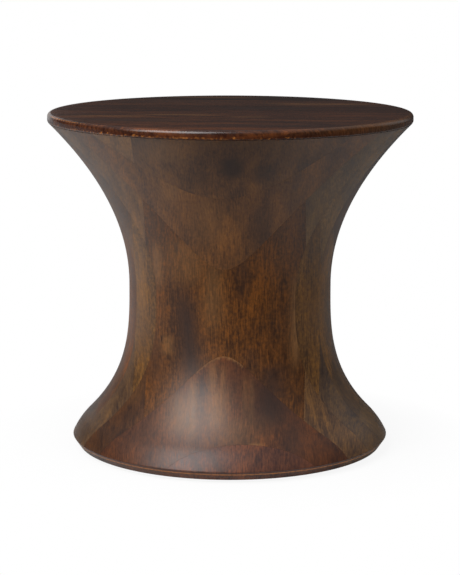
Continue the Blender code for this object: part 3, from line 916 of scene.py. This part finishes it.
class StoolStage(bpy.types.Operator):
    """Set the pale floor, the soft lights and cards, and the camera"""

    bl_idname = "stool.stage"
    bl_label = "Studio"

    def execute(self, context):
        scene = context.scene
        scene.view_settings.view_transform = "Standard"
        self.add_floor(scene)
        self.add_surroundings(scene)
        for name, (place, size, power) in SOFTBOXES.items():
            lamp = self.add_softbox(scene, name, place, size, power)
            lamp.visible_glossy = name != "fill_softbox"
        self.add_camera(scene)
        return {"FINISHED"}

    def add_floor(self, scene):
        """A flat floor over a square grid of X and Y.

        The camera sees it white, with a faint shadow near the stool. To the stool it is pale at the left,
        and dim in front, behind and at the far right, so the wood carries the reflections that it has in
        the photograph.
        """
        along = np.linspace(-9.0, 9.0, 7)
        across, depth = np.meshgrid(along, along)
        points = np.column_stack((across.ravel(), depth.ravel(), np.zeros(across.size)))
        index = np.arange(across.size).reshape(across.shape)
        squares = np.stack((index[:-1, :-1], index[:-1, 1:], index[1:, 1:], index[1:, :-1]), axis=-1)
        mesh = bpy.data.meshes.new("studio_floor")
        mesh.from_pydata(points, [], squares.reshape(-1, 4).tolist())
        floor = bpy.data.objects.new("studio_floor", mesh)
        scene.collection.objects.link(floor)
        material = bpy.data.materials.new("painted_floor")
        material.use_nodes = True
        tree = material.node_tree
        tree.nodes.clear()
        light_path = add_node(tree, "ShaderNodeLightPath")
        place = add_node(tree, "ShaderNodeTexCoord").outputs["Object"]
        reach = add_node(tree, "ShaderNodeVectorMath", {0: place}, operation="LENGTH").outputs["Value"]
        parts = add_node(tree, "ShaderNodeSeparateXYZ", {"Vector": place}).outputs
        in_front = add_node(tree, "ShaderNodeMapRange",
                            {"Value": parts["Y"], "From Min": -0.20, "From Max": -0.60}).outputs["Result"]
        at_left = add_node(tree, "ShaderNodeMapRange",
                           {"Value": parts["X"], "From Min": -0.20, "From Max": -0.60,
                            "To Max": 0.5}).outputs["Result"]
        at_right = add_node(tree, "ShaderNodeMapRange",
                            {"Value": parts["X"], "From Min": 0.45, "From Max": 0.95,
                             "To Max": 0.7}).outputs["Result"]
        sideways = add_node(tree, "ShaderNodeMath", {0: parts["X"]}, operation="ABSOLUTE").outputs[0]
        spread = add_node(tree, "ShaderNodeMath", {0: parts["Y"], 1: -0.25, 2: sideways},
                          operation="MULTIPLY_ADD").outputs[0]
        narrow = add_node(tree, "ShaderNodeMapRange",
                          {"Value": spread, "From Min": 0.45, "From Max": 0.15,
                           "To Max": 0.7}).outputs["Result"]
        far = add_node(tree, "ShaderNodeMapRange",
                       {"Value": parts["Y"], "From Min": 0.30, "From Max": 0.70}).outputs["Result"]
        behind = add_node(tree, "ShaderNodeMath", {0: narrow, 1: far}, operation="MULTIPLY").outputs[0]
        colour = (*scene.stool_colours.bounce, 1.0)
        for share, other in ((at_left, scene.stool_colours.floor), (at_right, scene.stool_colours.room),
                             (in_front, scene.stool_colours.room), (behind, scene.stool_colours.room),
                             (light_path.outputs["Is Camera Ray"], scene.stool_colours.floor)):
            colour = add_node(tree, "ShaderNodeMix", {"Factor": share, "A": colour, "B": (*other, 1.0)},
                              data_type="RGBA").outputs["Result"]
        paint = add_node(tree, "ShaderNodeBsdfDiffuse", {"Color": colour})
        white = add_node(tree, "ShaderNodeEmission", {"Color": (1.0, 1.0, 1.0, 1.0), "Strength": 1.0})
        even = add_node(tree, "ShaderNodeMapRange",
                        {"Value": reach, "From Min": 0.23, "From Max": 0.36,
                         "To Min": 0.90}).outputs["Result"]
        share = add_node(tree, "ShaderNodeMath", {0: light_path.outputs["Is Camera Ray"], 1: even},
                         operation="MULTIPLY").outputs[0]
        mix = add_node(tree, "ShaderNodeMixShader", {0: share, 1: paint.outputs[0], 2: white.outputs[0]})
        add_node(tree, "ShaderNodeOutputMaterial", {"Surface": mix.outputs[0]})
        mesh.materials.append(material)

    def add_surroundings(self, scene):
        """A dim room with a lighter ceiling, which only the camera sees as white.

        Reflections get no white: the lacquered seat in the photograph mirrors a dim room.
        """
        world = bpy.data.worlds.new("studio")
        world.use_nodes = True
        tree = world.node_tree
        tree.nodes.clear()
        light_path = add_node(tree, "ShaderNodeLightPath")
        direction = add_node(tree, "ShaderNodeTexCoord").outputs["Generated"]
        rise = add_node(tree, "ShaderNodeSeparateXYZ", {"Vector": direction}).outputs["Z"]
        light = add_node(tree, "ShaderNodeMapRange",
                         {"Value": rise, "From Min": 0.3, "From Max": 0.9, "To Min": 0.042,
                          "To Max": 0.50}).outputs["Result"]
        room = add_node(tree, "ShaderNodeBackground", {"Color": (0.95, 0.97, 1.0, 1.0), "Strength": light})
        white = add_node(tree, "ShaderNodeBackground", {"Color": (1.0, 1.0, 1.0, 1.0), "Strength": 1.0})
        mix = add_node(tree, "ShaderNodeMixShader",
                       {0: light_path.outputs["Is Camera Ray"], 1: room.outputs[0], 2: white.outputs[0]})
        add_node(tree, "ShaderNodeOutputWorld", {"Surface": mix.outputs[0]})
        scene.world = world

    def add_softbox(self, scene, name, place, size, power):
        """A rectangular soft light aimed at the middle of the stool."""
        light = bpy.data.lights.new(name, "AREA")
        light.shape = "RECTANGLE"
        light.size = size[0]
        light.size_y = size[1]
        light.energy = power
        lamp = bpy.data.objects.new(name, light)
        lamp.location = place
        lamp.rotation_euler = (Vector((0.0, 0.0, 0.2)) - lamp.location).to_track_quat("-Z", "Y").to_euler()
        lamp.visible_camera = False
        scene.collection.objects.link(lamp)
        return lamp

    def add_camera(self, scene):
        """The camera at the photograph's viewing angle."""
        camera = bpy.data.cameras.new("photo_camera")
        camera.sensor_width = SENSOR
        camera.lens = FOCAL_PIXELS / PICTURE_HEIGHT * SENSOR
        holder = bpy.data.objects.new("photo_camera", camera)
        holder.location = (CAMERA_DISTANCE * math.sin(CAMERA_TURN), -CAMERA_DISTANCE * math.cos(CAMERA_TURN),
                           CAMERA_HEIGHT)
        level = Euler((math.pi / 2 - CAMERA_PITCH, 0.0, CAMERA_TURN)).to_matrix()
        holder.rotation_euler = (level @ Matrix.Rotation(CAMERA_ROLL, 3, "Z")).to_euler()
        scene.collection.objects.link(holder)
        scene.camera = holder


class StoolPanel(bpy.types.Panel):
    """Sizes, colours and the steps that build the stool"""

    bl_idname = "VIEW3D_PT_stool"
    bl_label = "Round wooden stool"
    bl_space_type = "VIEW_3D"
    bl_region_type = "UI"
    bl_category = "Stool"

    def draw(self, context):
        for group in (context.scene.stool_sizes, context.scene.stool_colours):
            for name in group.__annotations__:
                self.layout.prop(group, name)
        for step in STEPS:
            self.layout.operator(step.bl_idname)


STEPS = (StoolColumn, StoolUpperBlocks, StoolLowerBlocks, StoolSeat, StoolPads, StoolStage)
CLASSES = (StoolSizes, StoolColours, *STEPS, StoolPanel)


def register():
    for each in CLASSES:
        bpy.utils.register_class(each)
    bpy.types.Scene.stool_sizes = bpy.props.PointerProperty(type=StoolSizes)
    bpy.types.Scene.stool_colours = bpy.props.PointerProperty(type=StoolColours)


def unregister():
    del bpy.types.Scene.stool_colours
    del bpy.types.Scene.stool_sizes
    for each in reversed(CLASSES):
        bpy.utils.unregister_class(each)


def main():
    register()
    bpy.ops.stool.column()
    bpy.ops.stool.upper_blocks()
    bpy.ops.stool.lower_blocks()
    bpy.ops.stool.seat()
    bpy.ops.stool.pads()
    bpy.ops.stool.stage()


if __name__ == "__main__":
    main()
